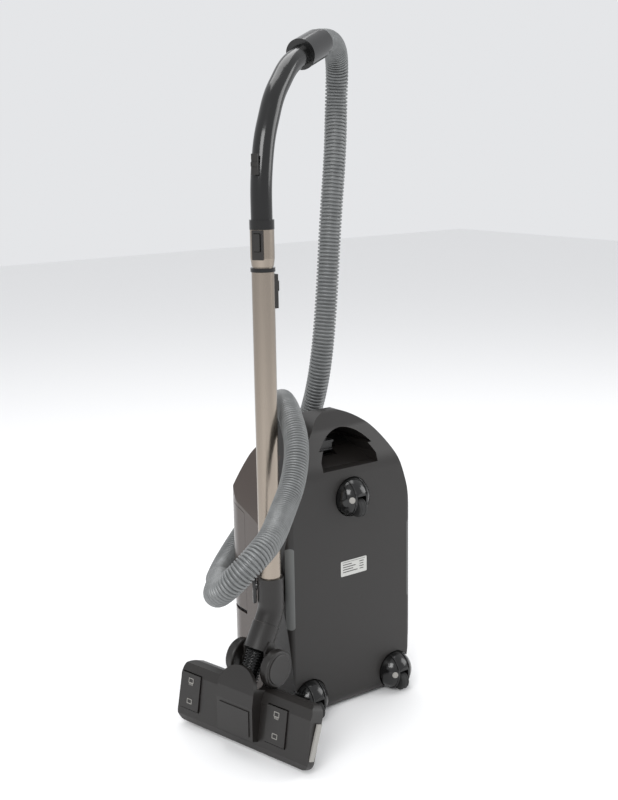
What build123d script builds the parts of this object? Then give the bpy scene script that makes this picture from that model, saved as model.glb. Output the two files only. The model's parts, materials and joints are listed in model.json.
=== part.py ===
from build123d import *

import math
import os

# A canister vacuum cleaner stood on its rear end in its parking position.
# Millimetres, +Z up. The base plate faces -Y and the tube is parked beside the flank at -X.
# Depths called "depth" are counted from the base plate's outer face into the body.

# Canister
PLATE_Y = -90.0
HALF_WIDTH = 131.0
BODY_HEIGHT = 494.0
ARCH_Z = 250.0
BODY_DEPTH = 205.0
WALL = 3.0
PARTING = 70.0
ENGINE_TOP = 147.0
COVER_Z = 322.0
HANDLE_Z = 428.0
GAP_FLOOR = 440.0
HANDLE_BAR = 24.0

# Dust lid: it swings about a line along X near its rear edge
HINGE_DEPTH, HINGE_Z = 197.0, 156.0
LID_REACH = 180.0
LID_EDGE = 130.0
LID_GAP = 0.8

# Casters
CASTER_SPOTS = {"top": (0.0, 360.0), "left": (-90.0, 33.0), "right": (90.0, 33.0)}
WELL_R, DOME_R, CASTER_WHEEL_R = 33.2, 32.0, 15.5
WHEEL_DROP, WHEEL_OUT = 14.0, 16.2
CASTER_PIN_R = 5.0

# Suction tube, parked upright
TUBE_X, TUBE_Y = -164.0, PLATE_Y
OUTER_R, OUTER_BORE_R = 17.0, 15.8
INNER_R, INNER_BORE_R = 15.3, 14.2
TUBE_LOW, TUBE_TOP, RING_TOP = 226.0, 738.0, 744.0
COLLAR_LOW, COLLAR_TOP, COLLAR_R = 746.0, 800.0, 18.0
ELBOW_TOP, ELBOW_R = 262.0, 20.5

# Grip: a bow in the upright plane that leaves the tube at this angle from +X
GRIP_ANGLE = 29.0
GRIP_R, GRIP_BORE_R = 16.0, 13.5
GRIP_BOW = [(0, 806), (0, 870), (14, 930), (48, 990), (100, 1035), (160, 1058), (205, 1071)]
GRIP_RADII = [260, 150, 120, 120, 150]
HOSE_R, HOSE_BORE_R = 19.0, 16.5
CUFF_R = 21.0

# Floor head: its own frame has x along its length, y up the plate and z out of its top face.
# The neck leaves the tube's foot at a tilt and carries the axle below and behind its own axis.
NECK_BEND = Vector(TUBE_X, TUBE_Y, 207.0)
HEAD_TURN, HEAD_LEAN, NECK_TILT = 12.4, 21.0, 30.6
PIVOT_REACH, PIVOT_DROP = 83.0, 12.0
NECK_TOP, NECK_END, NECK_R = 23.4, 65.0, 21.6
HEAD_HALF, HEAD_FRONT, HEAD_REAR = 141.0, -129.0, -30.0
LIP, SOLE = -10.0, -14.0
HEAD_WHEEL_R = 29.5
ARM_IN, ARM_OUT = 19.5, 23.5
EAR_IN, EAR_OUT = 24.2, 27.7
WHEEL_IN, WHEEL_OUT_X = 28.6, 45.0
AXLE_R = 4.0
PEDAL_Y = -79.0
BRUSH_ROWS = (-107.0, -46.0)
PEDAL_SPANS = {-1: (-134.0, -92.0), 1: (52.0, 94.0)}
HOOD_HALF, HOOD_TOP, CANOPY = 38.0, -6.0, 32.0

# Free and running clearances
SHAFT_GAP = 0.06
FREE_GAP = 0.5

BASE = (Align.CENTER, Align.CENTER, Align.MIN)
FRONT = Plane(origin=(0, PLATE_Y, 0), x_dir=(1, 0, 0), z_dir=(0, -1, 0))
SIDE = Plane(origin=(0, PLATE_Y, 0), x_dir=(0, 1, 0), z_dir=(1, 0, 0))
GROUND = Plane(origin=(0, PLATE_Y, 0), x_dir=(1, 0, 0), z_dir=(0, 0, 1))


def block(x0, x1, depth0, depth1, z0, z1):
    """A block between two corners, its Y range given as depths from the base plate."""
    middle = Pos((x0 + x1) / 2, PLATE_Y + (depth0 + depth1) / 2, (z0 + z1) / 2)
    return middle * Box(x1 - x0, depth1 - depth0, z1 - z0)


def disc(x, z, depth0, depth1, radius):
    """A cylinder square to the base plate."""
    seat = Plane(origin=(x, PLATE_Y + depth0, z), z_dir=(0, 1, 0))
    return seat * Cylinder(radius, depth1 - depth0, align=BASE)


def bar(start, end, radius):
    """A round bar between two points."""
    start, end = Vector(*start), Vector(*end)
    return Plane(origin=start, z_dir=end - start) * Cylinder(radius, (end - start).length, align=BASE)


def pipe(start, end, radius, bore):
    """A straight pipe between two points."""
    return bar(start, end, radius) - bar(start, end, bore)


def cross_bar(x0, x1, depth, z, radius):
    """A round bar along X."""
    return bar((x0, PLATE_Y + depth, z), (x1, PLATE_Y + depth, z), radius)


def rounded(points, radii):
    """A closed outline of straight sides and rounded corners."""
    return make_face(FilletPolyline(*points, radius=radii, close=True))


def swept(path, radius, bore=0.0):
    """A round section along a path, with a bore if one is given."""
    plane = Plane(origin=path @ 0, z_dir=path % 0)
    solid = sweep(plane * Circle(radius), path=path)
    if bore:
        solid = solid - sweep(plane * Circle(bore), path=path)
    return solid


# ---------------------------------------------------------------- canister body


def canister_form(inset=0.0):
    """The canister's whole outer form, or the form a wall's thickness inside it."""
    half = HALF_WIDTH - inset
    low = [(half, ARCH_Z), (half, 200), (121 - inset, 66), (104 - inset, 0)]
    low += [(-x, z) for x, z in reversed(low)]
    arch = EllipticalCenterArc((0, ARCH_Z), half, BODY_HEIGHT - ARCH_Z - inset, arc_size=180)
    outline = make_face([arch, Polyline(*low)])
    profile = rounded(
        [(0, 0), (0, 410), (30, 470), (58, 494), (92, 490), (150, 420), (178, 350), (205, 190), (205, 0)],
        [20, 60, 25, 14, 25, 60, 80, 60, 24],
    )
    if inset:
        profile = offset(profile, amount=-inset)
    low_side, high_side = HALF_WIDTH + 0.4 - inset, 119 - inset
    near, far = inset - 1, BODY_DEPTH + 1 - inset
    plan = rounded(
        [(-low_side, near), (low_side, near), (high_side, far), (-high_side, far)],
        [18 - inset, 18 - inset, 58 - inset, 58 - inset],
    )
    across = extrude(FRONT * outline, amount=BODY_DEPTH + 10, dir=(0, 1, 0))
    along = extrude(SIDE * profile, amount=HALF_WIDTH + 10, both=True)
    upright = extrude(GROUND * plan, amount=BODY_HEIGHT + 10, dir=(0, 0, 1))
    return across & along & upright


def hand_gap():
    """The opening under the handle bar, right through the body."""
    inside = Pos(0, ARCH_Z) * Ellipse(HALF_WIDTH - HANDLE_BAR, BODY_HEIGHT - ARCH_Z - HANDLE_BAR)
    above = Pos(0, GAP_FLOOR) * Rectangle(200, 60, align=(Align.CENTER, Align.MIN))
    return extrude(FRONT * (inside & above), amount=BODY_DEPTH + 10, dir=(0, 1, 0))


def finger_scoop():
    """The hollow in the base plate that leads fingers up to the hand gap."""
    wedge = Polygon((-20, 409), (22, 409), (101, GAP_FLOOR), (101, 470), (-20, 470), align=None)
    inside = Pos(0, ARCH_Z) * Ellipse(HALF_WIDTH - 40, BODY_HEIGHT - ARCH_Z - HANDLE_BAR)
    cutter = extrude(FRONT * inside, amount=BODY_DEPTH, dir=(0, 1, 0))
    return extrude(SIDE * wedge, amount=56, both=True) & cutter


def lid_zone(gap):
    """The space of the dust lid, grown by a gap for the opening it sits in."""
    turn = cross_bar(-HALF_WIDTH - 10, HALF_WIDTH + 10, HINGE_DEPTH, HINGE_Z, LID_REACH + gap)
    low = HINGE_Z - 3 if not gap else ENGINE_TOP
    return turn & block(-140, 140, LID_EDGE + 0.5 - gap / 2, 215, low, 345)


def strip_zone(side):
    """Where a bumper strip lies, on the corner between the base plate and a flank."""
    x0, x1 = sorted((side * 117.5, side * 130.0))
    ends = [disc(side * 123.5, z, -1, 14, 6.5) for z in (166, 290)]
    return (block(x0, x1, -1, 10, 166, 290) + ends[0] + ends[1]) & block(x0, x1, -1, 10, 155, 300)


def caster_boss(x, z):
    return disc(x, z, 3, 14, WELL_R + 3) + disc(x, z, 10, 30, 9)


def caster_well(x, z):
    return disc(x, z, -5, 10, WELL_R) + disc(x, z, 5, 28, CASTER_PIN_R + SHAFT_GAP)


def base_housing(form, hollow):
    """The dark lower shell with the base plate, the handle and the caster wells."""
    tub = (form - hollow) & block(-140, 140, -5, PARTING, -5, HANDLE_Z)
    handle = form & block(-140, 140, -5, 210, HANDLE_Z, 500)
    scoop_back = form & block(-72, 72, -5, PARTING, 398, HANDLE_Z)
    solid = tub + handle + scoop_back
    for x, z in CASTER_SPOTS.values():
        solid += caster_boss(x, z) & form
    for x, z in CASTER_SPOTS.values():
        solid -= caster_well(x, z)
    solid -= hand_gap() + finger_scoop()
    for side in (-1, 1):
        solid -= strip_zone(side)
    return solid - lever_pocket()


def upper_housing(form, hollow):
    """The painted cover over the engine bay, with the side walls of the dust bay."""
    solid = (form - hollow) & block(-140, 140, PARTING, 210, -5, COVER_Z)
    solid -= lid_zone(LID_GAP)
    solid -= block(-57, 57, 195, 210, 24, 82)
    for side in (-1, 1):
        x0, x1 = sorted((side * 20, side * 58))
        solid -= block(x0 - FREE_GAP, x1 + FREE_GAP, 195, 210, 96 - FREE_GAP, 130 + FREE_GAP)
    return solid - disc(0, 113, 195, 210, 6 + FREE_GAP)


def front_cover(form, hollow):
    """The painted cover between the dust lid and the handle, with the hole for the hose socket."""
    solid = (form - hollow) & block(-140, 140, PARTING, 210, COVER_Z, HANDLE_Z)
    return solid - lid_zone(LID_GAP) - bar(inlet(-30), inlet(20), 25.1)


def bulkheads(hollow):
    """Two cross walls: engine bay to dust bay, and dust bay to nose, with the hinge lugs."""
    low = hollow & block(-140, 140, 0, 184, ENGINE_TOP - 4, ENGINE_TOP - 1)
    high = (hollow & block(-140, 140, 0, 129, 326, 329)) - block(-42, 2, 70, 114, 320, 335) - caster_well(0, 360)
    vent = block(-40, 40, 40, 110, ENGINE_TOP - 6, ENGINE_TOP + 1)
    lugs = [block(x, x + 8, 182, 201, ENGINE_TOP - 4, HINGE_Z + 5) for x in (-50, 42)]
    pins = cross_bar(-64, -42, HINGE_DEPTH, HINGE_Z, 2) + cross_bar(42, 64, HINGE_DEPTH, HINGE_Z, 2)
    return [(low - vent) + lugs[0] + lugs[1] + pins, high]


def dust_lid(form, hollow):
    """The painted lid over the dust bay, with two ears on its hinge line."""
    solid = (form - hollow) & lid_zone(0)
    for x in (-51, 41):
        solid -= block(x, x + 10, 185, 210, LID_EDGE - 5, HINGE_Z + 7)
    for x in (-62, 53):
        ear = cross_bar(x, x + 9, HINGE_DEPTH, HINGE_Z, 5)
        arm = block(x, x + 9, HINGE_DEPTH, 203, HINGE_Z, HINGE_Z + 12)
        solid += ear + arm
    for x in (-62, 53):
        solid -= cross_bar(x - 1, x + 10, HINGE_DEPTH, HINGE_Z, 2 + SHAFT_GAP)
    return solid


def lever_pocket():
    return block(-30.5, 10.5, 50, 88, 418, 437)


def release_lever():
    """The dust lid's catch lever, in the floor of the finger scoop."""
    paddle = block(-29.5, 9.5, 60, 86, 438.2, 442.2) & block(-40, 20, 50, 90, 400, 450)
    return paddle + block(-28, 8, 62, 68, 426, 438.2) + cross_bar(-28, 8, 65, 426, 4)


def bumper_strips(form):
    """The soft strips let into both corners beside the base plate."""
    return Compound([(form & strip_zone(side)).solids()[0] for side in (-1, 1)])


def rating_label():
    return extrude(FRONT * (Pos(2.5, 240) * RectangleRounded(54, 26, 2)), amount=0.5)


def exhaust_grille():
    """The slotted panel over the exhaust filter."""
    panel = block(-56.5, 56.5, 200, 204.5, 24.5, 81.5)
    for row in range(7):
        panel -= block(-50, 50, 195, 210, 29.5 + 7 * row, 33.5 + 7 * row)
    return panel


def foot_pedal(side):
    """A foot button on the cover, guided by its own stem."""
    x0, x1 = sorted((side * 20, side * 58))
    cap = block(x0, x1, 197, 209, 96, 130)
    middle = side * 39
    return fillet(cap.faces().sort_by(Axis.Y)[-1].edges(), 2) + disc(middle, 113, 186, 197, 5)


def pedal_guides():
    """The engine bay's frame that guides the foot buttons and the dial."""
    plate = block(-64, 64, 184, 188, 92, 134)
    for x in (-39, 39):
        plate -= disc(x, 113, 180, 190, 5 + SHAFT_GAP)
    return plate + disc(0, 113, 188, 199, 3)


def power_dial():
    """The round suction selector, turning on a stub."""
    knob = disc(0, 113, 205.6, 212, 15) + disc(0, 113, 196, 206, 6) + block(-2, 2, 211, 214, 101, 125)
    return knob - disc(0, 113, 190, 200, 3 + SHAFT_GAP)


# ---------------------------------------------------------------- inside the canister


def motor_case():
    """The fan motor's case: a can with an open fan chamber facing the dust bay wall."""
    can = disc(-62, 78, 40, 150, 48) - disc(-62, 78, 43, 75, 45)
    return can - disc(-62, 78, 60, 100, 4 + SHAFT_GAP) - disc(-62, 78, 38, 50, 16)


def fan_wheel():
    """The fan wheel on its shaft, with its blades."""
    wheel = disc(-62, 78, 66, 69, 41) + disc(-62, 78, 56, 98, 4)
    for step in range(9):
        turn = Pos(-62, PLATE_Y + 61, 78) * Rot(0, 40 * step, 0)
        wheel += turn * Pos(24, 0, 0) * Box(28, 10, 2)
    return wheel


def cord_reel():
    """The cord reel's drum, empty, between its two flanges."""
    drum = disc(62, 78, 52, 108, 26) + disc(62, 78, 50, 53, 50) + disc(62, 78, 107, 110, 50)
    return drum - disc(62, 78, 45, 115, 7 + SHAFT_GAP)


def reel_axle():
    return disc(62, 78, 42, 118, 7) + block(30, 94, 119, 122, 60, 96) + disc(62, 78, 118, 119, 12)


def cord_outlet(form):
    """The cord outlet's bush in the right flank; the cord itself is not part of the model."""
    hole = cross_bar(110, 140, 110, 60, 9)
    bush = cross_bar(112, 136, 110, 60, 12) & form
    return bush - hole - cross_bar(100, 118, 110, 60, 11)


def circuit_board():
    board = block(-9, 26, 140, 142, 20, 90)
    for x, z, size in ((0, 44, 12), (14, 64, 9), (14, 32, 7)):
        board += block(x - size / 2, x + size / 2, 142, 142 + size, z - size / 2, z + size / 2)
    return board


def dust_bag():
    bag = block(-92, 92, 22, 112, 158, 292)
    return fillet(bag.edges(), 24)


def bag_collar():
    """The bag's stiff collar plate with its mouth and its neck."""
    plate = block(-60, 20, 70, 128, 312, 316) - bar(bag_mouth(300), bag_mouth(330), 17)
    return plate + pipe(bag_mouth(292.2), bag_mouth(312), 19, 17)


def bag_mouth(z):
    return (-20, PLATE_Y + 92, z)


# ---------------------------------------------------------------- hose socket on the nose

INLET_DIR = Vector(0, 0.928, 0.371)
INLET_FACE = Vector(-20, PLATE_Y + 158, 400)
HOSE_END_DIR = Vector(-0.2, -0.3, 0.93).normalized()


def inlet(height):
    """A point on the hose socket's axis, its height counted outward from the cover."""
    point = INLET_FACE + INLET_DIR * height
    return (point.X, point.Y, point.Z)


def hose_socket():
    """The socket ring in the nose and the duct that leads down to the bag's collar."""
    ring = bar(inlet(-16), inlet(6), 25) - bar(inlet(-20), inlet(10), 20.1)
    path = FilletPolyline(inlet(-16), inlet(-42), bag_mouth(345), bag_mouth(317), radius=[14, 14])
    return ring + pipe(inlet(-19), inlet(-15.9), 25, 14) + swept(path, 17, 14)


def socket_cuff():
    """The hose's angled end piece, which turns in the socket."""
    bend = INLET_FACE + INLET_DIR * 30
    end = bend + HOSE_END_DIR * 40
    path = FilletPolyline(inlet(-12), (bend.X, bend.Y, bend.Z), (end.X, end.Y, end.Z), radius=[24])
    collar = bar(bend + HOSE_END_DIR * 18, end, CUFF_R) - bar(bend, end, 18)
    return swept(path, 20, 16) + collar + (bar(inlet(7), inlet(12), 24) - bar(inlet(6), inlet(13), 18))


# ---------------------------------------------------------------- casters


def caster_dome(x, z):
    """A caster's domed fork with its swivel pin and the wheel's axle."""
    cap = Pos(x, PLATE_Y + 4, z) * Sphere(DOME_R)
    cap = cap & disc(x, z, -26, 4, DOME_R)
    fork = disc(x, z, 4, 8, DOME_R - 1) + cap + disc(x, z, 8, 27, CASTER_PIN_R)
    slot = block(x - 9, x + 9, -40, 4, z - 40, z + 6)
    axle = cross_bar(x - 12, x + 12, -WHEEL_OUT, z - WHEEL_DROP, 2.5)
    return (fork - slot) + axle


def caster_wheel(x, z):
    """A caster's wheel with its tyre."""
    wheel = cross_bar(x - 7.5, x + 7.5, -WHEEL_OUT, z - WHEEL_DROP, CASTER_WHEEL_R)
    wheel = fillet(wheel.edges(), 3)
    return wheel - cross_bar(x - 10, x + 10, -WHEEL_OUT, z - WHEEL_DROP, 2.5 + SHAFT_GAP)


# ---------------------------------------------------------------- suction tube and grip


def at_tube(z):
    return (TUBE_X, TUBE_Y, z)


def outer_tube():
    return pipe(at_tube(TUBE_LOW), at_tube(TUBE_TOP), OUTER_R, OUTER_BORE_R)


def tube_ring():
    """The ring that guides the inner tube."""
    return pipe(at_tube(TUBE_TOP), at_tube(RING_TOP), 18.5, INNER_R + SHAFT_GAP)


def slide_button_seat():
    """The length-adjustment button's seat on the outer tube."""
    seat = Pos(TUBE_X + 17, TUBE_Y, 707.5) * Box(10, 15, 51)
    seat -= bar(at_tube(660), at_tube(TUBE_TOP), OUTER_R)
    return seat - Pos(TUBE_X + 22, TUBE_Y, 709) * Box(8, 9, 30)


def slide_button():
    button = Pos(TUBE_X + 22.6, TUBE_Y, 715) * Box(7, 8, 16)
    return fillet(button.edges().filter_by(Axis.Y), 1.5)


def inner_tube():
    return pipe(at_tube(400), at_tube(790), INNER_R, INNER_BORE_R)


def tube_collar():
    """The flared steel collar on top of the inner tube."""
    outer = [(INNER_R + 0.02, COLLAR_LOW), (INNER_R + 1.2, COLLAR_LOW), (COLLAR_R, COLLAR_LOW + 12)]
    outer += [(COLLAR_R, COLLAR_TOP), (INNER_R + 0.02, COLLAR_TOP)]
    ring = revolve(Plane.XZ * Polygon(*outer, align=None), Axis.Z)
    return Pos(TUBE_X, TUBE_Y, 0) * ring


def collar_button_plane():
    return Plane(origin=(TUBE_X, TUBE_Y, 778), x_dir=(0, 0, 1), z_dir=(-0.82, -0.57, 0))


def collar_button_frame():
    """The frame of the handle's release button, on the collar's outer side."""
    face = collar_button_plane()
    frame = face * Pos(0, 0, 17) * Box(43, 17, 8)
    frame -= bar(at_tube(700), at_tube(850), COLLAR_R)
    return frame - face * Pos(4, 0, 21) * Box(27, 11, 6)


def collar_button():
    return collar_button_plane() * Pos(4, 0, 21.4) * Box(25.4, 9.4, 4.4)


def grip_point(reach, z):
    """A point in the grip's upright plane."""
    angle = math.radians(GRIP_ANGLE)
    return (TUBE_X + reach * math.cos(angle), TUBE_Y + reach * math.sin(angle), z)


GRIP_END = Vector(*grip_point(*GRIP_BOW[-1]))
GRIP_DIR = (GRIP_END - Vector(*grip_point(*GRIP_BOW[-2]))).normalized()


def grip_path():
    return FilletPolyline(*[grip_point(*spot) for spot in GRIP_BOW], radius=GRIP_RADII)


def grip():
    """The bowed grip with its hood around the hose's end."""
    body = swept(grip_path(), GRIP_R)
    hood = bar(GRIP_END - GRIP_DIR * 62, GRIP_END, 24)
    foot = bar(at_tube(COLLAR_TOP + 2), at_tube(COLLAR_TOP + 14), 18.5)
    body = body + hood + foot
    body -= swept(grip_path(), GRIP_BORE_R)
    body -= bar(GRIP_END - GRIP_DIR * 30, GRIP_END + GRIP_DIR, 19 + SHAFT_GAP)
    return body - bar(at_tube(780), at_tube(808), 15.5) - slider_seat()


def slider_plane():
    """The suction slider's frame: x down the grip, z out of its front side."""
    return Plane(origin=(TUBE_X, TUBE_Y, 900), x_dir=(0, 0, 1), z_dir=(-0.875, -0.485, 0))


def slider_seat():
    return slider_plane() * Pos(2, 0, 17) * Box(48, 11, 5)


def suction_slider():
    """The suction slider's cap, which travels along its seat."""
    cap = slider_plane() * Pos(-6, 0, 17.6) * Box(30, 10, 4)
    return cap + slider_plane() * Pos(-6, 0, 20.5) * Box(6, 10, 2)


def grip_ring():
    """The dark ring between the collar and the grip."""
    return pipe(at_tube(COLLAR_TOP), at_tube(COLLAR_TOP + 2), 18.5, INNER_R)


def grip_cuff():
    """The hose's end piece that turns in the grip."""
    end = GRIP_END + GRIP_DIR * 18
    stem = bar(GRIP_END - GRIP_DIR * 28, GRIP_END + GRIP_DIR * 2, 19)
    collar = bar(GRIP_END + GRIP_DIR * 0.6, end, CUFF_R)
    return stem + collar - bar(GRIP_END - GRIP_DIR * 30, end, 16)


# ---------------------------------------------------------------- hose

HOSE_POINTS = [
    (87, 143, 1073),
    (110, 167, 1044),
    (115, 178, 985),
    (98, 160, 903),
    (76, 147, 793),
    (59, 138, 661),
    (50, 142, 560),
    (50, 164, 486),
    (56, 202, 425),
    (48, 238, 370),
    (24, 254, 318),
    (-14, 258, 272),
    (-62, 248, 232),
    (-116, 216, 206),
    (-162, 162, 208),
    (-198, 100, 236),
    (-232, 40, 264),
    (-268, -18, 286),
    (-304, -72, 302),
    (-351, -138, 317),
    (-347, -174, 345),
    (-317, -187, 377),
    (-277, -170, 392),
    (-220, -116, 406),
    (-178, -88, 438),
    (-144, -52, 482),
    (-118, 4, 516),
    (-90, 60, 522),
    (-58, 112, 508),
]


def hose_route():
    """The hose's route from the grip's cuff to the socket's cuff, in the model's frame."""
    first = GRIP_END + GRIP_DIR * 18
    last = INLET_FACE + INLET_DIR * 30 + HOSE_END_DIR * 40
    lead = last + HOSE_END_DIR * 45
    middle = [(x, PLATE_Y + depth, z) for x, depth, z in HOSE_POINTS]
    lead_out = first + GRIP_DIR * 22
    ends = [(p.X, p.Y, p.Z) for p in (first, lead_out, lead, last)]
    return ends[:2] + middle + ends[2:]


def corner_radii(points):
    """Each corner's arc as large as its two runs allow."""
    radii = []
    for before, here, after in zip(points, points[1:], points[2:]):
        run_in = Vector(*here) - Vector(*before)
        run_out = Vector(*after) - Vector(*here)
        half = math.radians(run_in.get_angle(run_out)) / 2
        radii.append(0.45 * min(run_in.length, run_out.length) / math.tan(half))
    return radii


def suction_hose():
    """The suction hose, a plain tube of its outer diameter."""
    points = hose_route()
    radii = corner_radii(points)
    path = FilletPolyline(*points, radius=radii)
    hose = swept(path, HOSE_R, HOSE_BORE_R)
    section = math.pi * (HOSE_R**2 - HOSE_BORE_R**2)
    print("hose length", round(path.length), "volume ratio", round(hose.volume / section / path.length, 4))
    print("hose radii", [round(radius) for radius in radii])
    return hose


# ---------------------------------------------------------------- elbow, neck and floor head

TURN, LEAN, TILT = math.radians(HEAD_TURN), math.radians(HEAD_LEAN), math.radians(NECK_TILT)
OUTWARD = Vector(-math.cos(TURN), -math.sin(TURN), 0)
HEAD_ALONG = Vector(math.sin(TURN), -math.cos(TURN), 0)
HEAD_TOP = OUTWARD * math.cos(LEAN) + Vector(0, 0, math.sin(LEAN))
NECK_DIR = OUTWARD * math.sin(TILT) - Vector(0, 0, math.cos(TILT))
NECK_BACK = OUTWARD * -math.cos(TILT) - Vector(0, 0, math.sin(TILT))
HEAD_PIVOT = NECK_BEND + NECK_DIR * PIVOT_REACH + NECK_BACK * PIVOT_DROP
HEAD = Plane(origin=HEAD_PIVOT, x_dir=HEAD_ALONG, z_dir=HEAD_TOP)
HEAD_SIDE = Plane(origin=HEAD_PIVOT, x_dir=HEAD.y_dir, z_dir=HEAD_ALONG)
NECK_SIDE = Plane(origin=NECK_BEND, x_dir=NECK_DIR, z_dir=HEAD_ALONG)


def head_block(x0, x1, y0, y1, z0, z1):
    """A block in the floor head's own frame."""
    return HEAD * Pos((x0 + x1) / 2, (y0 + y1) / 2, (z0 + z1) / 2) * Box(x1 - x0, y1 - y0, z1 - z0)


def head_bar(x0, x1, y, z, radius):
    """A round bar along the floor head's length."""
    ends = [HEAD * Pos(x, y, z) for x in (x0, x1)]
    return bar(ends[0].position, ends[1].position, radius)


def neck_point(reach):
    """A point on the neck's axis, its reach counted from the tube's bend."""
    return NECK_BEND + NECK_DIR * reach


def elbow():
    """The elbow at the tube's foot, down to the neck's swivel joint, with its parking hook."""
    socket = pipe(at_tube(TUBE_LOW), at_tube(ELBOW_TOP), ELBOW_R, OUTER_R + 0.02)
    path = FilletPolyline(at_tube(TUBE_LOW), tuple(NECK_BEND), tuple(neck_point(NECK_TOP - 0.6)), radius=40)
    hook = block(-148, -134.5, 10, 28, 205, 250) - bar(at_tube(190), at_tube(270), ELBOW_R - 1)
    return socket + swept(path, ELBOW_R, 15) + hook


def elbow_button():
    """The elbow's release button."""
    face = Plane(origin=at_tube(247), x_dir=(0, 0, 1), z_dir=(-0.8, 0.6, 0))
    dome = face * Pos(0, 0, 21) * Cylinder(7, 6)
    return dome - bar(at_tube(200), at_tube(290), ELBOW_R + 0.8)


def park_bracket(form):
    """The parking bracket on the flank."""
    bracket = block(-139, -118, 19, 50, 190, 262) - form
    return bracket - block(-150, -134.2, 0, 28.5, 204, 251)


def neck_pipe():
    """The turning neck with the two arms that carry the axle."""
    solid = pipe(neck_point(NECK_TOP), neck_point(NECK_END), NECK_R, 17.5)
    arm = Polygon((48, -6), (NECK_END, -8), (88, 5), (90, 14), (84, 19), (76, 18), (48, 9), align=None)
    for side in (-1, 1):
        start, axle_end = min(side * ARM_IN, side * ARM_OUT), side * (WHEEL_OUT_X - 1)
        solid += NECK_SIDE * Pos(0, 0, start) * extrude(arm, amount=ARM_OUT - ARM_IN)
        solid += head_bar(min(side * ARM_IN, axle_end), max(side * ARM_IN, axle_end), 0, 0, AXLE_R)
    return solid


def neck_bellows():
    """The ribbed hose between the neck and the floor head."""
    return pipe(neck_point(NECK_END), neck_point(116), 17, 14)


def head_wheel(side):
    """A floor head wheel: a disc with a rolled rim."""
    x0, x1 = sorted((side * WHEEL_IN, side * WHEEL_OUT_X))
    wheel = fillet(head_bar(x0, x1, 0, 0, HEAD_WHEEL_R).edges(), 4)
    return wheel - head_bar(x0 - 5, x1 + 5, 0, 0, AXLE_R + SHAFT_GAP)


def head_form(inset=0.0):
    """The floor head's wedge: low at the bumper, high at the back, its ends drawn in a little."""
    i = inset
    wedge = [(HEAD_FRONT + i, LIP), (HEAD_FRONT + i, -2), (-120 + i, 4 - i), (-52, 18 - i), (-36 - i, 15 - i)]
    wedge += [(HEAD_REAR - i, 4), (HEAD_REAR - i, LIP)]
    along = extrude(HEAD_SIDE * Polygon(*wedge, align=None), amount=HEAD_HALF + 5, both=True)
    side = HEAD_HALF - i
    corners = [(-side, HEAD_FRONT + i), (side, HEAD_FRONT + i), (side - 4, HEAD_REAR - i), (4 - side, HEAD_REAR - i)]
    plan = rounded(corners, [14 - i, 14 - i, 16 - i, 16 - i])
    return along & extrude(HEAD * Pos(0, 0, LIP - 1) * plan, amount=60)


def pedal_block(side, margin, y0, y1, z0, z1):
    x0, x1 = PEDAL_SPANS[side]
    return head_block(x0 - margin, x1 + margin, y0, y1, z0, z1)


def head_shell():
    """The floor head's housing, open below, with ears on the axle and wells for the pedals."""
    form = head_form()
    shell = form - head_form(3)
    shell -= head_block(-150, 150, HEAD_FRONT + 3.01, HEAD_REAR - 3.01, LIP - 1, LIP + 4) & head_form(3.01)
    for side in (-1, 1):
        shell += pedal_block(side, 2, -111, -47, -5, 8) & form
        shell -= pedal_block(side, 0, -109, -49, -3, 30)
        shell += head_bar(PEDAL_SPANS[side][0] - 1, PEDAL_SPANS[side][1] + 1, PEDAL_Y, 2, 2)
        e0, e1 = sorted((side * EAR_IN, side * EAR_OUT))
        shell += head_bar(e0, e1, 0, 0, 9) + head_block(e0, e1, HEAD_REAR - 8, 0, -9, 7)
        shell -= head_bar(e0 - 1, e1 + 1, 0, 0, AXLE_R + SHAFT_GAP)
        w0, w1 = sorted((side * (EAR_OUT + 0.3), side * (WHEEL_OUT_X + 1.5)))
        shell -= head_bar(w0, w1, 0, 0, HEAD_WHEEL_R + 1.5)
    return shell - head_block(-EAR_IN, EAR_IN, -60, 20, LIP - 2, 40)


def neck_hood():
    """The tombstone-shaped hood over the neck's root: walls round the front, a canopy behind."""
    outer = [(-114, 5), (-114, 17), (-64, 36), (-44, 40), (10, 40), (10, CANOPY), (-34, CANOPY), (-34, 5)]
    inner = [(-120, 0), (-111, 14.5), (-63, 33), (-43, 37), (20, 37), (20, 0)]
    return hood_form(HOOD_HALF, -114, outer) - hood_form(HOOD_HALF - 3, -111, inner) - head_form()


def hood_form(half, front, profile):
    centre = HOOD_TOP - HOOD_HALF
    outline = Pos(0, centre) * Circle(half) + Pos(0, (centre + front) / 2) * Rectangle(2 * half, centre - front)
    sides = extrude(HEAD_SIDE * Polygon(*profile, align=None), amount=60, both=True)
    return extrude(HEAD * Pos(0, 0, -2) * outline, amount=60) & sides


def hood_panel():
    """The plain panel set on the hood's lower half."""
    seat = HEAD * Pos(0, -89, 26.5) * Rot(math.degrees(math.atan2(19, 50)), 0, 0)
    return seat * Pos(0, 0, 0.8) * Box(62, 42, 1.6)


def sole_plate():
    """The sole with its suction mouth and the slots of the brush strips."""
    plan = rounded([(-137, -125), (137, -125), (133, -34), (-133, -34)], 10)
    sole = extrude(HEAD * Pos(0, 0, SOLE) * plan, amount=LIP - 0.02 - SOLE)
    sole -= head_block(-118, 118, -84, -66, SOLE - 1, LIP + 1)
    for y in BRUSH_ROWS:
        sole -= head_block(-111, 111, y - 4, y + 4, SOLE - 1, LIP + 1)
    sole -= head_block(-EAR_IN - 1, EAR_IN + 1, -60, -20, SOLE - 1, LIP + 1)
    return sole - head_bar(-60, 60, 0, 0, HEAD_WHEEL_R + 6.5)


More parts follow.
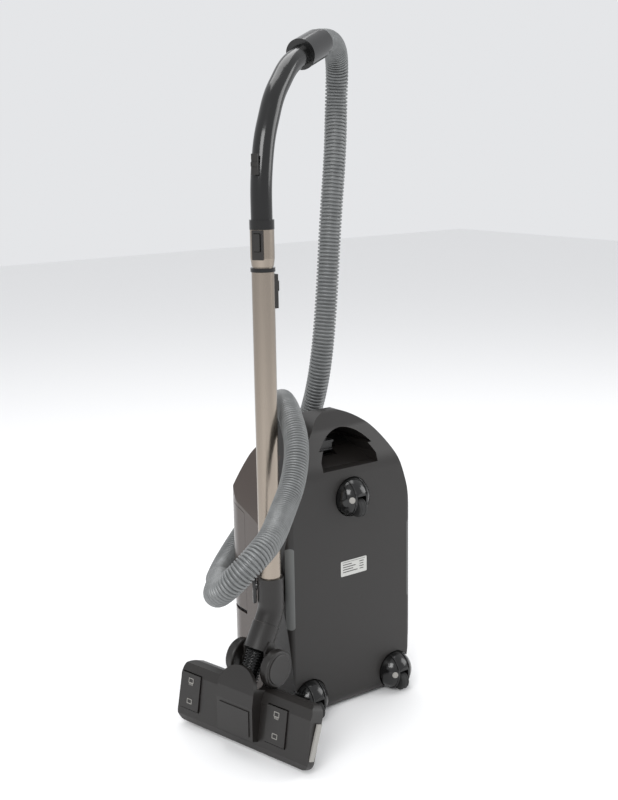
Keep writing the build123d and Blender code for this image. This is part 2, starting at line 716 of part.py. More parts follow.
def brush_strips():
    """Both brush strips on the carrier that lifts them."""
    rows = [head_block(-110, 110, y - 3, y + 3, SOLE - 5, LIP + 1.5) for y in BRUSH_ROWS]
    ends = [head_block(x, x + 6, BRUSH_ROWS[0], BRUSH_ROWS[1], LIP + 0.2, LIP + 1.5) for x in (-110, 104)]
    return rows[0] + rows[1] + ends[0] + ends[1]


def rocker_pedal(side):
    """A carpet and hard floor pedal that rocks across the head's length."""
    plate = [(-107.5, 4), (-107.5, 9.5), (-50.5, 20.5), (-50.5, 13), (-76, 8), (-76, -1), (-82, -1), (-82, 7)]
    pedal = extrude(HEAD_SIDE * Polygon(*plate, align=None), amount=200, both=True)
    pedal = pedal & pedal_block(side, -0.7, -120, -40, -10, 30)
    return pedal - pedal_bar(side)


def pedal_bar(side):
    return head_bar(PEDAL_SPANS[side][0] - 2, PEDAL_SPANS[side][1] + 2, PEDAL_Y, 2, 2 + SHAFT_GAP)


def side_strips():
    """The pale lint strips set on the floor head's ends."""
    ends = [head_block(x, x + 3, -112, -56, -6, 4) - head_form() for x in (-142.3, 139.3)]
    return Compound([end.solids()[0] for end in ends])


# ---------------------------------------------------------------- writing


def model():
    """Every node of the assembly, by name."""
    form, hollow = canister_form(), canister_form(WALL)
    base = base_housing(form, hollow)
    low_wall, high_wall = bulkheads(hollow)
    nodes = {
        "upper_housing": upper_housing(form, hollow),
        "front_cover": front_cover(form, hollow),
        "dust_lid": dust_lid(form, hollow),
        "engine_bulkhead": low_wall,
        "nose_bulkhead": high_wall,
        "release_lever": release_lever(),
        "bumper_strips": bumper_strips(form),
        "rating_label": rating_label(),
        "exhaust_grille": exhaust_grille(),
        "power_pedal": foot_pedal(-1),
        "rewind_pedal": foot_pedal(1),
        "pedal_guides": pedal_guides(),
        "power_dial": power_dial(),
        "motor_case": motor_case(),
        "fan_wheel": fan_wheel(),
        "exhaust_filter": block(-54, 54, 160, 196, 26, 80),
        "motor_filter": block(-39, 39, 41, 109, ENGINE_TOP + 0.2, ENGINE_TOP + 6),
        "cord_reel": cord_reel(),
        "reel_axle": reel_axle(),
        "cord_outlet": cord_outlet(form),
        "circuit_board": circuit_board(),
        "dust_bag": dust_bag(),
        "bag_collar": bag_collar(),
        "hose_socket": hose_socket(),
        "socket_cuff": socket_cuff(),
        "outer_tube": outer_tube(),
        "tube_ring": tube_ring(),
        "slide_button_seat": slide_button_seat(),
        "slide_button": slide_button(),
        "inner_tube": inner_tube(),
        "tube_collar": tube_collar(),
        "collar_button_frame": collar_button_frame(),
        "collar_button": collar_button(),
        "grip": grip(),
        "grip_ring": grip_ring(),
        "suction_slider": suction_slider(),
        "grip_cuff": grip_cuff(),
        "suction_hose": suction_hose(),
        "elbow": elbow(),
        "elbow_button": elbow_button(),
        "park_bracket": park_bracket(form),
        "neck_pipe": neck_pipe(),
        "neck_bellows": neck_bellows(),
        "head_shell": head_shell(),
        "neck_hood": neck_hood(),
        "hood_panel": hood_panel(),
        "sole_plate": sole_plate(),
        "brush_strips": brush_strips(),
        "head_side_strips": side_strips(),
    }
    for name, (x, z) in CASTER_SPOTS.items():
        nodes[f"caster_dome_{name}"] = caster_dome(x, z)
        nodes[f"caster_wheel_{name}"] = caster_wheel(x, z)
    for name, side in (("left", -1), ("right", 1)):
        nodes[f"head_wheel_{name}"] = head_wheel(side)
        nodes[f"rocker_pedal_{name}"] = rocker_pedal(side)
    nodes["base_housing"] = base - nodes["engine_bulkhead"] - nodes["nose_bulkhead"]
    nodes["upper_housing"] = nodes["upper_housing"] - nodes["cord_outlet"]
    return nodes


os.makedirs("parts", exist_ok=True)
for name, solid in model().items():
    export_step(solid, f"parts/{name}.step")
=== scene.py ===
import json
import math

import bpy
import numpy as np
from mathutils import Matrix, Vector


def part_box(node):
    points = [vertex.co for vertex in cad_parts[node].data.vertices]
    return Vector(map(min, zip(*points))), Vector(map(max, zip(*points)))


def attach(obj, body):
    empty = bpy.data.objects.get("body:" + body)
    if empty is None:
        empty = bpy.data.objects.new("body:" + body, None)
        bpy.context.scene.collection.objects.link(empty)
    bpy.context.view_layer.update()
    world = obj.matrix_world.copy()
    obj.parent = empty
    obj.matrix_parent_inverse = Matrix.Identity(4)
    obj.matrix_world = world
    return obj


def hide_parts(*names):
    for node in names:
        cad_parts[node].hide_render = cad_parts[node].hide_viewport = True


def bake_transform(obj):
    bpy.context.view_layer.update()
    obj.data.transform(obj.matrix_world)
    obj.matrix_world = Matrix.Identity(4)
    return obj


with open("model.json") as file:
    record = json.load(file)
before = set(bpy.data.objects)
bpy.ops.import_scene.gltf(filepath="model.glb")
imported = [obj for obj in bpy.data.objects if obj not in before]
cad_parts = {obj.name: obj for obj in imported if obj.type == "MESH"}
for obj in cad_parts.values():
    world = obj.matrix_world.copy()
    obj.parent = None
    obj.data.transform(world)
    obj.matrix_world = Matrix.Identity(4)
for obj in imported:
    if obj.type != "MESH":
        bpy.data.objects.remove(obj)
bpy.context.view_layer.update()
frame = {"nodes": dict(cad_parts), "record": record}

bl_info = {
    "name": "Canister vacuum cleaner",
    "version": (1, 0, 0),
    "blender": (4, 5, 0),
    "location": "3D View > Sidebar > Vacuum",
    "description": "Dresses the canister vacuum cleaner: hose, bellows, brushes, trims and finishes",
    "category": "Object",
}

# The canister's base plate faces -Y, and its casters stand on it at these X and Z
PLATE_Y = -0.09
CASTERS = {"top": (0.0, 0.360), "left": (-0.090, 0.033), "right": (0.090, 0.033)}

# The hose's route, the same as the solid hose's
HOSE_ROUTE = (
    (0.0304, 0.0178, 1.0760), (0.0489, 0.0280, 1.0821), (0.0870, 0.0530, 1.0730),
    (0.1100, 0.0770, 1.0440), (0.1150, 0.0880, 0.9850), (0.0980, 0.0700, 0.9030),
    (0.0760, 0.0570, 0.7930), (0.0590, 0.0480, 0.6610), (0.0500, 0.0520, 0.5600),
    (0.0500, 0.0740, 0.4860), (0.0560, 0.1120, 0.4250), (0.0480, 0.1480, 0.3700),
    (0.0240, 0.1640, 0.3180), (-0.0140, 0.1680, 0.2720), (-0.0620, 0.1580, 0.2320),
    (-0.1160, 0.1260, 0.2060), (-0.1620, 0.0720, 0.2080), (-0.1980, 0.0100, 0.2360),
    (-0.2320, -0.0500, 0.2640), (-0.2680, -0.1080, 0.2860), (-0.3040, -0.1620, 0.3020),
    (-0.3510, -0.2280, 0.3170), (-0.3470, -0.2640, 0.3450), (-0.3170, -0.2770, 0.3770),
    (-0.2770, -0.2600, 0.3920), (-0.2200, -0.2060, 0.4060), (-0.1780, -0.1780, 0.4380),
    (-0.1440, -0.1420, 0.4820), (-0.1180, -0.0860, 0.5160), (-0.0900, -0.0300, 0.5220),
    (-0.0580, 0.0220, 0.5080), (-0.0370, 0.0703, 0.4904), (-0.0280, 0.0838, 0.4484),
)

# The neck and the floor head: a bend at the tube's foot, the axle, and the head's own axes
NECK_BEND = Vector((-0.164, -0.090, 0.207))
NECK_DIR = Vector((-0.49717, -0.10931, -0.86074))
HEAD_PIVOT = Vector((-0.19518, -0.09685, 0.12945))
HEAD_ALONG = Vector((0.21474, -0.97667, 0.0))
HEAD_UP = Vector((0.35001, 0.07695, 0.93358))
HEAD_TOP = Vector((-0.9118, -0.20047, 0.35837))

# Suction hose: its plain ends, its tightly ribbed part's start, its sides, and one rib's outline
# as shares of the pitch, each with how far it stands back from the ridge (None is the groove)
PLAIN_END = 0.002
HANGING_RUN = 0.72
HOSE_SIDES = 22
RIB_OUTLINE = ((0.0, None), (0.16, 0.0005), (0.3, 0.0), (0.55, 0.0), (0.7, 0.0005), (0.86, None))

# Neck bellows: where the folds start and stop along the neck, and one fold's rings
BELLOWS_START = (0.0652, 0.0172)
BELLOWS_END = (0.116, 0.0150)
FOLDS_FROM, FOLDS_TO, FOLD_PITCH = 0.0675, 0.113, 0.0044
FOLD_RINGS = ((0.0, 0.0144), (0.0010, 0.0170), (0.0022, 0.0172), (0.0034, 0.0144))

# Casters: the ridges lie on a dome, the treads on a roller behind and below the pin
DOME_RADIUS = 0.032
DOME_CENTRE_Y = PLATE_Y + 0.004
DOME_FOOT_Y = PLATE_Y - 0.002
DOME_RIM_Y = PLATE_Y - 0.0258
RIDGE_LIFT = 0.0004
RIDGE_THICKNESS = 0.0013
RIDGE_OFFSET = 0.0115
MARK_RINGS = ((0.0, 0.0052), (0.0010, 0.0052), (0.0015, 0.0044))
MARK_WAY = (-0.5, -0.86, 0.05)
ROLLER_Y = PLATE_Y - 0.0162
ROLLER_DROP = 0.014
TREAD_RADIUS = 0.0154
TREAD_THICKNESS = 0.0007
TREAD_OFFSET = 0.0035

# Rating label: bars of a thin film, one row a line, as (start, width) in X
LABEL_FACE_Y = PLATE_Y - 0.00055
BAR_THICKNESS = 0.0002
BAR_HEIGHT = 0.0013
RULE_PLACE_X, RULE_Z, RULE_WIDTH, RULE_HEIGHT = 0.0025, 0.2505, 0.047, 0.0006
FIRST_ROW_Z = 0.2465
ROW_STEP = 0.0042
LABEL_ROWS = ((-0.020, 0.018), (-0.020, 0.026), (-0.020, 0.021), (-0.020, 0.030))
COLUMN_X, COLUMN_WIDTH, COLUMN_CHANGE = 0.0185, 0.009, 0.0012

# Foot buttons and suction dial, on the front cover's face
BUTTON_SIGN_Y = PLATE_Y + 0.209
BUTTON_Z = 0.113
BUTTONS = (("power", "power_button", 0.039), ("rewind", "rewind_button", -0.039))
DIAL_FACE_Y = PLATE_Y + 0.2051
DIAL_REACH = 0.0185
DIAL_DOTS = 9
DIAL_START, DIAL_STEP = -135, 33.75

# Dust bag: its share of the room, its rounding, and the creases of its fleece
BAG_SHARE = (0.97, 0.94, 0.97)
BAG_ROUNDING = 0.026
BAG_GRAIN = 0.0045
CREASE_SCALE = 0.035
CREASE_DEPTH = 0.005

# Floor head, in its own frame: pedals that slope up, brush rows, wheel caps
PEDAL_SLOPE = math.atan2(11, 57)
PEDAL_CENTRES = {"left": -0.113, "right": 0.073}
PEDAL_FOOT_Y = -0.079
PEDAL_FOOT_Z = 0.01502
SIGN_LIFT = 0.0001
SIGN_LINE, SIGN_DEPTH = 0.0009, 0.0005
BRUSH_ROWS = (-0.107, -0.046)
BRUSH_STRIP = (0.2195, 0.0056, 0.003)
STRIP_Z, TUFT_Z = -0.0117, -0.0112
TUFT_RINGS = ((0.0, 0.0016), (0.004, 0.0018), (0.0078, 0.0021))
TUFTS_IN_ROW = 52
FIRST_TUFT_X, TUFT_PITCH = -0.107, 0.0042
WHEEL_CAP_X = 0.0449
WHEEL_CAP_RINGS = ((0.0, 0.0238), (0.0008, 0.0238), (0.0014, 0.0228), (0.0012, 0.0205))

# Elbow: its release button looks outwards, away from the canister
ELBOW_CENTRE = Vector((-0.164, PLATE_Y, 0.239))
ELBOW_OUTWARD = Vector((-0.8, 0.6, 0))
ELBOW_ALONG = Vector((-0.6, -0.8, 0))
ELBOW_CAP_REACH = 0.0249
ELBOW_CAP = (0.006, 0.013, 0.040)
ELBOW_CAP_EDGE = 0.0024

# Edges sharper than these many degrees stay sharp
SMOOTH_PIECE, SMOOTH_ROUND, SMOOTH_NODE = 35, 60, 32

# Stage: the camera, then each lamp with its place, its share of the light and its size
CAMERA_PLACE = (-1.18467, -1.57901, 0.94008)
CAMERA_RIGHT = (0.80177725, -0.59741139, -0.01590235)
CAMERA_UP = (0.14104682, 0.16330526, 0.97644108)
CAMERA_BACK = (-0.58074008, -0.78513122, 0.21519741)
CAMERA_LENS, CAMERA_SENSOR, CAMERA_FAR = 55.03, 36.0, 50.0
FLOOR_SIZE = 14
FLOOR_Z = -0.0005
LAMP_AIM = (-0.1, 0, 0.5)
LAMPS = (
    ("window_lamp", (-2.2, -1.6, 2.4), 1.0, 1.6),
    ("side_lamp", (2.4, -1.4, 1.6), 0.45, 1.6),
    ("top_lamp", (0.2, 0.8, 2.9), 0.5, 1.8),
)
SKY_COLOUR = (0.92, 0.93, 0.95, 1)
SKY_STRENGTH = 0.85


# ---------------------------------------------------------------- selecting, adding, settling


def put_down():
    """Leaves edit mode and deselects everything."""
    if bpy.context.mode != "OBJECT":
        bpy.ops.object.mode_set(mode="OBJECT")
    bpy.ops.object.select_all(action="DESELECT")


def take(piece):
    """Selects one piece alone and makes it the active one."""
    put_down()
    piece.select_set(True)
    bpy.context.view_layer.objects.active = piece
    return piece


def join(pieces):
    take(pieces[0])
    for piece in pieces:
        piece.select_set(True)
    bpy.ops.object.join()
    return bpy.context.view_layer.objects.active


def settle(piece, name, body, slot, smooth=SMOOTH_PIECE):
    """Leaves a finished piece at the origin with its place in its mesh, on its body, in its finish."""
    take(piece)
    bpy.ops.object.transform_apply(location=True, rotation=True, scale=True)
    bpy.ops.object.mode_set(mode="EDIT")
    bpy.ops.mesh.select_all(action="SELECT")
    bpy.ops.mesh.normals_make_consistent(inside=False)
    bpy.ops.object.mode_set(mode="OBJECT")
    bpy.ops.object.shade_smooth_by_angle(angle=math.radians(smooth))
    piece.name = piece.data.name = name
    piece.data.materials.clear()
    piece.data.materials.append(finish_of(slot))
    if body:
        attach(piece, body)
    return piece


def bevelled(piece, width, segments=2):
    take(piece)
    bevel = piece.modifiers.new("edge", "BEVEL")
    bevel.width, bevel.segments, bevel.limit_method = width, segments, "ANGLE"
    bpy.ops.object.modifier_apply(modifier=bevel.name)
    return piece


def box(centre, size, turn=None, edge=0.0):
    """A cube at a place, its edges rounded, turned by a 3x3 matrix."""
    put_down()
    bpy.ops.mesh.primitive_cube_add(size=1)
    piece = bpy.context.active_object
    piece.scale = size
    bpy.ops.object.transform_apply(location=False, rotation=False, scale=True)
    if edge:
        bevelled(piece, edge)
    piece.matrix_world = Matrix.Translation(centre) @ (turn.to_4x4() if turn else Matrix())
    return piece


def turned(profile, place, axis, sides=48):
    """A round piece raised ring by ring from (height, radius) pairs along an axis."""
    put_down()
    height, radius = profile[0]
    bpy.ops.mesh.primitive_circle_add(vertices=sides, radius=radius, fill_type="NGON")
    piece = bpy.context.active_object
    bpy.ops.object.mode_set(mode="EDIT")
    bpy.ops.mesh.select_all(action="SELECT")
    base = height
    for next_height, next_radius in profile[1:]:
        step = (0, 0, next_height - height)
        bpy.ops.mesh.extrude_region_move(TRANSFORM_OT_translate={"value": step})
        grow = next_radius / radius
        centre = (0, 0, next_height - base)
        bpy.ops.transform.resize(value=(grow, grow, 1), center_override=centre)
        height, radius = next_height, next_radius
    bpy.ops.object.mode_set(mode="OBJECT")
    turn = Vector(axis).to_track_quat("Z", "Y").to_matrix().to_4x4()
    piece.matrix_world = Matrix.Translation(Vector(place) + Vector(axis).normalized() * base) @ turn
    return piece


def head_place(x, y, z):
    """A point of the floor head's own frame, in the model's frame."""
    return HEAD_PIVOT + HEAD_ALONG * x + HEAD_UP * y + HEAD_TOP * z


def head_turn(slope=0.0):
    frame_axes = Matrix((HEAD_ALONG, HEAD_UP, HEAD_TOP)).transposed()
    return frame_axes @ Matrix.Rotation(slope, 3, "X")


# ---------------------------------------------------------------- finishes


def finish(name, colour, rough, metallic=0.0, coat=0.0, coat_rough=0.1):
    material = bpy.data.materials.new(name)
    material.use_nodes = True
    shader = material.node_tree.nodes["Principled BSDF"]
    shader.inputs["Base Color"].default_value = (*colour, 1)
    shader.inputs["Roughness"].default_value = rough
    shader.inputs["Metallic"].default_value = metallic
    shader.inputs["Coat Weight"].default_value = coat
    shader.inputs["Coat Roughness"].default_value = coat_rough
    material.diffuse_color = (*colour, 1)
    return material


def noise(material, scale, detail=2.0, stretch=(1, 1, 1)):
    """A noise pattern on the piece's own coordinates."""
    nodes, links = material.node_tree.nodes, material.node_tree.links
    place = nodes.new("ShaderNodeTexCoord")
    mapping = nodes.new("ShaderNodeMapping")
    mapping.inputs["Scale"].default_value = stretch
    pattern = nodes.new("ShaderNodeTexNoise")
    pattern.inputs["Scale"].default_value = scale
    pattern.inputs["Detail"].default_value = detail
    links.new(place.outputs["Object"], mapping.inputs["Vector"])
    links.new(mapping.outputs["Vector"], pattern.inputs["Vector"])
    return pattern


def grained(material, scale, strength, distance=0.0002, stretch=(1, 1, 1)):
    nodes, links = material.node_tree.nodes, material.node_tree.links
    pattern = noise(material, scale, stretch=stretch)
    bump = nodes.new("ShaderNodeBump")
    bump.inputs["Strength"].default_value = strength
    bump.inputs["Distance"].default_value = distance
    links.new(pattern.outputs["Fac"], bump.inputs["Height"])
    links.new(bump.outputs["Normal"], nodes["Principled BSDF"].inputs["Normal"])
    return material


def mottled(material, low, high, scale, socket="Base Color", stretch=(1, 1, 1), detail=2.0):
    """Varies the colour or the roughness between two values."""
    nodes, links = material.node_tree.nodes, material.node_tree.links
    pattern = noise(material, scale, detail, stretch)
    if socket == "Roughness":
        spread = nodes.new("ShaderNodeMapRange")
        spread.inputs["To Min"].default_value = low
        spread.inputs["To Max"].default_value = high
        links.new(pattern.outputs["Fac"], spread.inputs["Value"])
        links.new(spread.outputs["Result"], nodes["Principled BSDF"].inputs[socket])
        return material
    ramp = nodes.new("ShaderNodeValToRGB")
    for stop, position, colour in zip(ramp.color_ramp.elements, (0.38, 0.62), (low, high)):
        stop.position = position
        stop.color = (*colour, 1)
    links.new(pattern.outputs["Fac"], ramp.inputs["Fac"])
    links.new(ramp.outputs["Color"], nodes["Principled BSDF"].inputs[socket])
    return material


def make_finishes(looks):
    body, paint = tuple(looks.body_colour), tuple(looks.paint_colour)
    hose = tuple(looks.hose_colour)
    lighter_paint = tuple(1.35 * c for c in paint)
    lighter_hose = tuple(1.18 * c for c in hose)
    steel = finish("brushed_steel", (0.33, 0.285, 0.24), 0.26, metallic=1.0)
    return {
        "black_plastic": grained(finish("moulded_black", body, 0.42), 900, 0.25),
        "gloss_black": mottled(
            finish("polished_black", (0.006, 0.006, 0.006), 0.2), 0.12, 0.2, 14, "Roughness"
        ),
        "brown_paint": mottled(
            finish("bronze_lacquer", paint, 0.4, metallic=0.6, coat=0.6, coat_rough=0.2),
            paint, lighter_paint, 2600, detail=1.0,
        ),
        "grey_strip": grained(finish("soft_grey_strip", (0.12, 0.123, 0.12), 0.6), 700, 0.3),
        "silver_hose": mottled(
            finish("silver_vinyl", hose, 0.38, metallic=0.3), hose, lighter_hose, 60
        ),
        "steel": mottled(steel, 0.2, 0.32, 240, "Roughness", stretch=(1, 1, 0.02)),
        "label": grained(
            finish("label_film", (0.5, 0.5, 0.48), 0.38, metallic=0.3), 300, 0.05
        ),
        "paper": grained(finish("fleece_paper", (0.72, 0.69, 0.6), 0.9), 420, 0.6, 0.0006),
        "inner_grey": grained(finish("inner_grey_plastic", (0.16, 0.16, 0.17), 0.5), 700, 0.2),
        "white_plastic": grained(finish("pale_plastic", (0.3, 0.29, 0.27), 0.45), 600, 0.15),
        "board_green": mottled(
            finish("green_board", (0.03, 0.16, 0.08), 0.3),
            (0.02, 0.12, 0.06), (0.04, 0.2, 0.1), 90,
        ),
        "bristle": grained(finish("bristles", (0.03, 0.03, 0.03), 0.8), 1200, 0.6),
        "tyre": grained(finish("tread_rubber", (0.014, 0.014, 0.014), 0.7), 500, 0.4),
    }


# The name of each slot's material, filled in when the finishes are made
SLOT_FINISH = {}


def finish_of(slot):
    """The made finish for one of the record's material slots."""
    return bpy.data.materials[SLOT_FINISH[slot]]


# ---------------------------------------------------------------- sizes and colours


class HoseSizes(bpy.types.PropertyGroup):
    diameter: bpy.props.FloatProperty(
        name="Diameter", description="The hose across its ribs", default=0.038, unit="LENGTH"
    )
    valley: bpy.props.FloatProperty(
        name="Valley", description="How deep the grooves are", default=0.0032, unit="LENGTH"
    )
    pitch: bpy.props.FloatProperty(
        name="Rib pitch", description="From rib to rib where the hose is at rest",
        default=0.0048, unit="LENGTH",
    )
    stretched: bpy.props.FloatProperty(
        name="Stretched pitch", description="From rib to rib where it hangs",
        default=0.006, unit="LENGTH",
    )


class Looks(bpy.types.PropertyGroup):
    body_colour: bpy.props.FloatVectorProperty(
        name="Body", description="The moulded plastic",
        default=(0.011, 0.0095, 0.0085), subtype="COLOR",
    )
    paint_colour: bpy.props.FloatVectorProperty(
        name="Cover", description="The cover's lacquer",
        default=(0.042, 0.028, 0.021), subtype="COLOR",
    )
    hose_colour: bpy.props.FloatVectorProperty(
        name="Hose", description="The hose's silver vinyl",
        default=(0.15, 0.155, 0.155), subtype="COLOR",
    )


class StageSetting(bpy.types.PropertyGroup):
    floor_shade: bpy.props.FloatProperty(
        name="Floor", description="How pale the floor is",
        default=0.9, min=0.0, max=1.0, subtype="FACTOR",
    )
    light: bpy.props.FloatProperty(
        name="Light", description="Strength of the main lamp", default=60.0, unit="POWER"
    )


# ---------------------------------------------------------------- hose


def hose_line():
    """The hose's centreline, read from a curve through the route's own control points."""
    data = bpy.data.curves.new("hose_line", "CURVE")
    data.dimensions = "3D"
    spline = data.splines.new("NURBS")
    spline.points.add(len(HOSE_ROUTE) - 1)
    for point, place in zip(spline.points, HOSE_ROUTE):
        point.co = (*place, 1)
    spline.order_u = 3
    spline.use_endpoint_u = True
    spline.resolution_u = 24
    curve = bpy.data.objects.new("hose_line", data)
    bpy.context.scene.collection.objects.link(curve)
    bpy.context.view_layer.update()
    evaluated = curve.evaluated_get(bpy.context.evaluated_depsgraph_get())
    mesh = bpy.data.meshes.new_from_object(evaluated)
    line = np.array([v.co for v in mesh.vertices])
    bpy.data.objects.remove(curve)
    bpy.data.curves.remove(data)
    bpy.data.meshes.remove(mesh)
    return line


def runs_of(line):
    """The distance along a line to each of its points."""
    steps = np.linalg.norm(np.diff(line, axis=0), axis=1)
    return np.concatenate([[0], np.cumsum(steps)])


def along_line(line, spots):
    """Places and directions at the given distances along a line."""
    run = runs_of(line)
    places = np.stack([np.interp(spots, run, line[:, k]) for k in range(3)], 1)
    ways = np.gradient(places, axis=0)
    return places, ways / np.linalg.norm(ways, axis=1)[:, None]


def rib_rings(sizes, line):
    """Distances along the hose and the radius at each: groove, ridge, groove and so on."""
    length = runs_of(line)[-1]
    outer, inner = sizes.diameter / 2, sizes.diameter / 2 - sizes.valley
    spots, radii, here = [0.0], [outer], PLAIN_END
    while here < length - sizes.stretched - PLAIN_END:
        pitch = sizes.stretched if here < HANGING_RUN else sizes.pitch
        spots += [here + share * pitch for share, _ in RIB_OUTLINE]
        radii += [inner if back is None else outer - back for _, back in RIB_OUTLINE]
        here += pitch
    return np.array(spots + [length]), np.array(radii + [outer])


def ribbed_tube(line, spots, radii, sides):
    """A closed tube whose radius follows its ribs, without twist."""
    places, ways = along_line(line, spots)
    side = np.cross(ways[0], (0, 0, 1.0))
    turns = np.linspace(0, 2 * math.pi, sides, endpoint=False)
    rings = []
    for place, way, radius in zip(places, ways, radii):
        side = side - way * side.dot(way)
        side = side / np.linalg.norm(side)
        other = np.cross(way, side)
        spokes = np.outer(np.cos(turns), side) + np.outer(np.sin(turns), other)
        rings.append(place + radius * spokes)
    corners = np.concatenate(rings)
    faces = []
    for ring in range(len(rings) - 1):
        for k in range(sides):
            a, b = ring * sides + k, ring * sides + (k + 1) % sides
            faces.append((a, b, b + sides, a + sides))
    faces.append(tuple(reversed(range(sides))))
    faces.append(tuple(range(len(corners) - sides, len(corners))))
    mesh = bpy.data.meshes.new("suction_hose_ribbed")
    mesh.from_pydata([tuple(c) for c in corners], [], faces)
    tube = bpy.data.objects.new("suction_hose_ribbed", mesh)
    bpy.context.scene.collection.objects.link(tube)
    return tube


class VACUUM_OT_hose(bpy.types.Operator):
    """Makes the ribbed suction hose"""
    bl_idname = "vacuum.hose"
    bl_label = "Suction hose"

    def execute(self, context):
        sizes = context.scene.vacuum_hose
        line = hose_line()
        spots, radii = rib_rings(sizes, line)
        hose = ribbed_tube(line, spots, radii, HOSE_SIDES)
        settle(hose, "suction_hose_ribbed", None, "silver_hose", SMOOTH_ROUND)
        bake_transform(hose)
        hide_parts("suction_hose")
        return {"FINISHED"}


class VACUUM_OT_bellows(bpy.types.Operator):
    """Makes the ribbed bellows between the neck and the floor head"""
    bl_idname = "vacuum.bellows"
    bl_label = "Neck bellows"

    def execute(self, context):
        profile, here = [BELLOWS_START], FOLDS_FROM
        while here < FOLDS_TO:
            profile += [(here + step, radius) for step, radius in FOLD_RINGS]
            here += FOLD_PITCH
        profile.append(BELLOWS_END)
        bellows = turned(profile, NECK_BEND, NECK_DIR)
        settle(bellows, "neck_bellows_ribbed", None, "gloss_black", SMOOTH_ROUND)
        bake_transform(bellows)
        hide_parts("neck_bellows")
        return {"FINISHED"}


# ---------------------------------------------------------------- canister trims


def dome_ridge(x, z, offset):
    """A raised ridge up one side of a caster's dome."""
    reach = math.sqrt(DOME_RADIUS**2 - offset**2) + RIDGE_LIFT
    put_down()
    bpy.ops.mesh.primitive_torus_add(
        major_radius=reach, minor_radius=RIDGE_THICKNESS, major_segments=48, minor_segments=10,
        location=(x + offset, DOME_CENTRE_Y, z), rotation=(0, math.pi / 2, 0),
    )
    ridge = bpy.context.active_object
    bpy.ops.object.mode_set(mode="EDIT")
    for cut_y, outside in ((DOME_FOOT_Y, 1), (DOME_RIM_Y, -1)):
        bpy.ops.mesh.select_all(action="SELECT")
        bpy.ops.mesh.bisect(
            plane_co=(x, cut_y, z), plane_no=(0, outside, 0), use_fill=True, clear_outer=True
        )
    bpy.ops.object.mode_set(mode="OBJECT")
    return ridge


class VACUUM_OT_casters(bpy.types.Operator):
    """Adds the ridges, marks and wheel treads of the casters"""
    bl_idname = "vacuum.casters"
    bl_label = "Caster trims"

    def execute(self, context):
        for spot, (x, z) in CASTERS.items():
            ridges = join([dome_ridge(x, z, -RIDGE_OFFSET), dome_ridge(x, z, RIDGE_OFFSET)])
            settle(ridges, f"caster_ridges_{spot}", f"caster_{spot}", "gloss_black")
            mark_place = (x - 0.0165, PLATE_Y - 0.0218, z + 0.0015)
            mark = turned(MARK_RINGS, mark_place, MARK_WAY, 32)
            settle(mark, f"caster_mark_{spot}", f"caster_{spot}", "white_plastic")
            treads = []
            for offset in (-TREAD_OFFSET, TREAD_OFFSET):
                put_down()
                bpy.ops.mesh.primitive_torus_add(
                    major_radius=TREAD_RADIUS, minor_radius=TREAD_THICKNESS,
                    major_segments=48, minor_segments=8,
                    location=(x + offset, ROLLER_Y, z - ROLLER_DROP),
                    rotation=(0, math.pi / 2, 0),
                )
                treads.append(bpy.context.active_object)
            settle(join(treads), f"caster_tread_{spot}", f"caster_roller_{spot}", "tyre")
        return {"FINISHED"}


class VACUUM_OT_label(bpy.types.Operator):
    """Adds generic lines to the rating label, with no words"""
    bl_idname = "vacuum.label"
    bl_label = "Label lines"

    def execute(self, context):
        rule_place = (RULE_PLACE_X, LABEL_FACE_Y, RULE_Z)
        bars = [box(rule_place, (RULE_WIDTH, BAR_THICKNESS, RULE_HEIGHT))]
        for row, (start, width) in enumerate(LABEL_ROWS):
            z = FIRST_ROW_Z - ROW_STEP * row
            ending = COLUMN_WIDTH - COLUMN_CHANGE * (row % 2)
            for middle, long in ((start + width / 2, width), (COLUMN_X, ending)):
                bars.append(box((middle, LABEL_FACE_Y, z), (long, BAR_THICKNESS, BAR_HEIGHT)))
        settle(join(bars), "label_lines", "canister", "black_plastic")
        return {"FINISHED"}


class VACUUM_OT_buttons(bpy.types.Operator):
    """Adds the signs on the foot buttons and the marks round the power dial"""
    bl_idname = "vacuum.buttons"
    bl_label = "Button signs"

    def execute(self, context):
        for name, body, x in BUTTONS:
            put_down()
            bpy.ops.mesh.primitive_torus_add(
                major_radius=0.0062, minor_radius=0.0006, major_segments=40, minor_segments=8,
                location=(x, BUTTON_SIGN_Y, BUTTON_Z), rotation=(math.pi / 2, 0, 0),
            )
            ring = bpy.context.active_object
            bar = box((x, BUTTON_SIGN_Y, 0.1175), (0.0012, 0.0010, 0.006))
            sign = join([ring, bar])
            settle(sign, f"{name}_sign", body, "white_plastic")
        dots = []
        for step in range(DIAL_DOTS):
            turn = math.radians(DIAL_START + step * DIAL_STEP)
            x, z = DIAL_REACH * math.sin(turn), BUTTON_Z + DIAL_REACH * math.cos(turn)
            place = (x, DIAL_FACE_Y, z)
            dots.append(turned([(0.0, 0.0007), (0.0005, 0.0007)], place, (0, 1, 0), 12))
        settle(join(dots), "dial_marks", "canister", "white_plastic")
        return {"FINISHED"}


